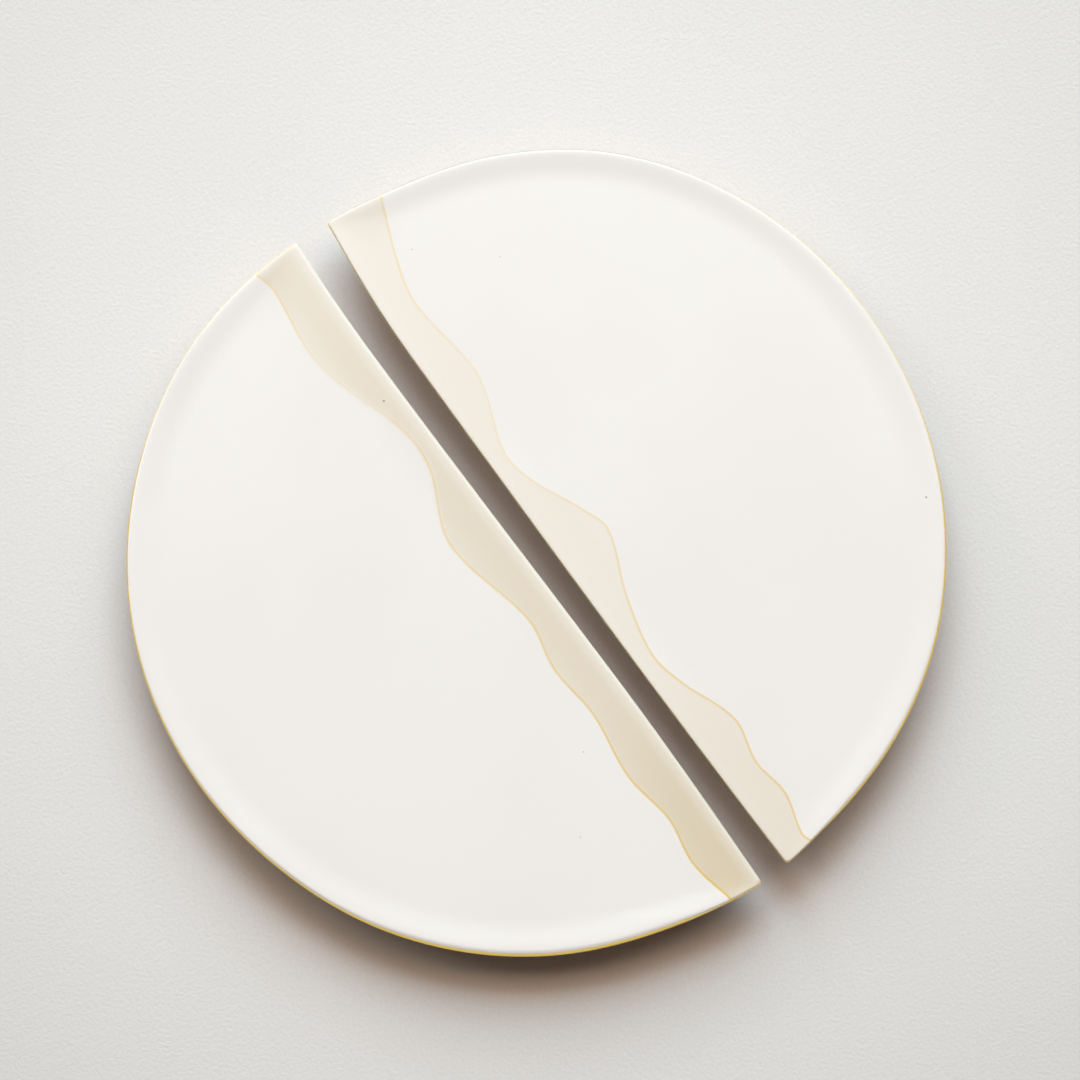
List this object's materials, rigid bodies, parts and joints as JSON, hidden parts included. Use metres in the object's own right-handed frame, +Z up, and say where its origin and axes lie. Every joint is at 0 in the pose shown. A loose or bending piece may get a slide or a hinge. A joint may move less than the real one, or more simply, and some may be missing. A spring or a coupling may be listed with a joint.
{
  "type": "split serving plate",
  "caption": "Round serving plate in separate half-moon halves, each nearly flat with a soft gilded rim, a wavy gold line and a cream glaze along its parting edge.",
  "frame": {"origin": "on the table, under the middle of the whole plate", "axes": "+Z up, +Y along the gap between the halves, +X across it from the left half to the right half"},
  "size_m": [0.3102, 0.3004, 0.0155],
  "materials": {
    "left_glaze": "satin glaze, cream along the parting edge, gold line and lip",
    "right_glaze": "satin glaze, cream along the parting edge, gold line and lip"
  },
  "bodies": {
    "root": {"left_half": "left_glaze", "right_half": "right_glaze"}
  },
  "joints": []
}
